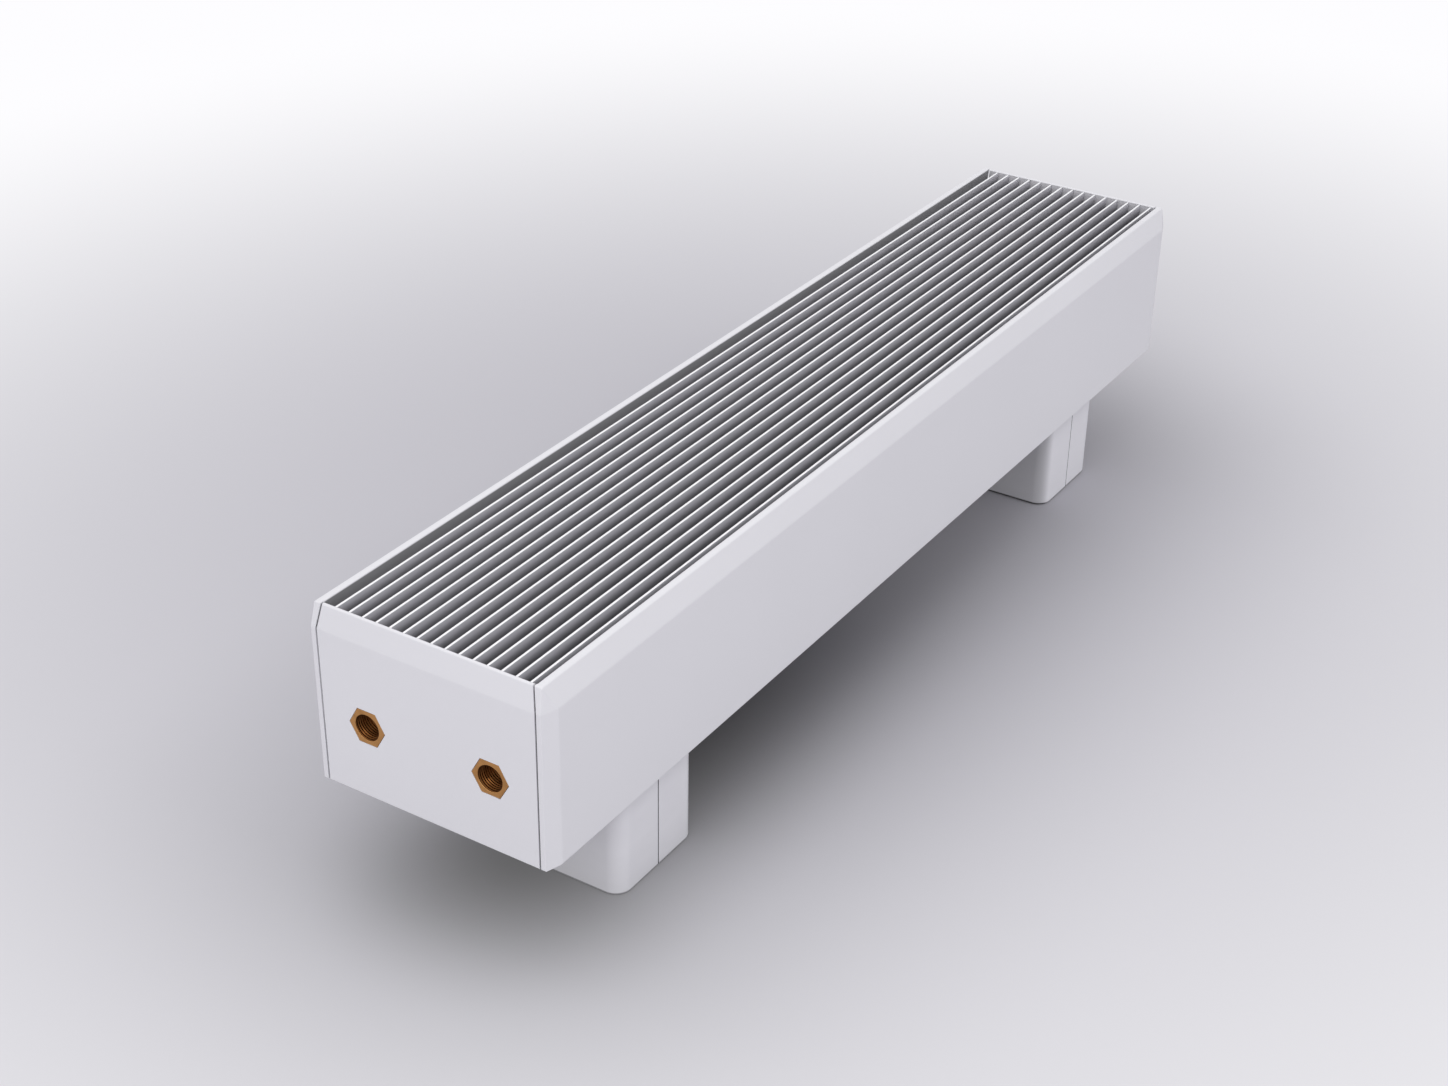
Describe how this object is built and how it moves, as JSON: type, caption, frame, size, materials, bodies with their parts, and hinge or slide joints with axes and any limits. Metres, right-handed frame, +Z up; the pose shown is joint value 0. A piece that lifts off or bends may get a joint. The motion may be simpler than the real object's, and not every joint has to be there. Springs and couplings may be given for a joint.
{
  "type": "freestanding convector radiator",
  "caption": "Long low steel convector casing on two covered feet, with a lift-out slatted outlet grille over a finned copper heat exchanger and pipe sockets at its end.",
  "frame": {"origin": "on the floor under the middle of the casing", "axes": "+X along the casing away from the pipe connections, -Y is the front, +Z up"},
  "size_m": [0.9, 0.182, 0.22],
  "materials": {
    "white_paint": "satin powder coat",
    "white_plastic": "satin",
    "galvanised_steel": "galvanised sheet",
    "plated_steel": "zinc plated",
    "primed_steel": "dark primer",
    "anodised_aluminium": "natural anodised",
    "fin_aluminium": "mill finish",
    "copper": "bright drawn copper",
    "brass": "turned",
    "rubber": "matt"
  },
  "bodies": {
    "casing": {"front_panel": "white_paint", "back_panel": "white_paint", "connection_end_panel": "white_paint", "blank_end_panel": "white_paint", "connection_end_frame": "galvanised_steel", "blank_end_frame": "galvanised_steel", "foot_yoke_left": "galvanised_steel", "foot_yoke_right": "galvanised_steel", "middle_yoke": "galvanised_steel", "casing_screws": "plated_steel", "fin_pack": "fin_aluminium", "exchanger_end_plates": "galvanised_steel", "heating_tubes": "copper", "return_bends": "copper", "supply_header": "brass", "return_header": "brass", "air_vent_body": "plated_steel", "drain_plug": "brass", "exchanger_pads": "rubber", "ledge_strips": "rubber", "foot_post_left": "primed_steel", "foot_post_right": "primed_steel", "foot_bolts": "plated_steel", "foot_nuts": "plated_steel", "floor_pads": "rubber", "cover_clips": "plated_steel"},
    "grille": {"grille_slats": "anodised_aluminium", "grille_rods": "anodised_aluminium", "grille_spacers": "anodised_aluminium"},
    "vent_spindle": {"air_vent_spindle": "brass"},
    "left_outer_cover": {"foot_cover_left_outer": "white_plastic"},
    "left_inner_cover": {"foot_cover_left_inner": "white_plastic"},
    "right_inner_cover": {"foot_cover_right_inner": "white_plastic"},
    "right_outer_cover": {"foot_cover_right_outer": "white_plastic"}
  },
  "joints": [
    {"name": "grille_lift", "type": "slide", "parent": "casing", "child": "grille", "axis": [0, 0, 1], "range_m": [0, 0.06]},
    {"name": "vent_turn", "type": "hinge", "parent": "casing", "child": "vent_spindle", "pos_m": [-0.423, 0.0475, 0.175], "axis": [0, 0, 1], "range_deg": [0, 360]},
    {"name": "left_outer_cover_pull", "type": "slide", "parent": "casing", "child": "left_outer_cover", "axis": [-1, 0, 0], "range_m": [0, 0.06]},
    {"name": "left_inner_cover_pull", "type": "slide", "parent": "casing", "child": "left_inner_cover", "axis": [1, 0, 0], "range_m": [0, 0.06]},
    {"name": "right_inner_cover_pull", "type": "slide", "parent": "casing", "child": "right_inner_cover", "axis": [-1, 0, 0], "range_m": [0, 0.06]},
    {"name": "right_outer_cover_pull", "type": "slide", "parent": "casing", "child": "right_outer_cover", "axis": [1, 0, 0], "range_m": [0, 0.06]}
  ]
}
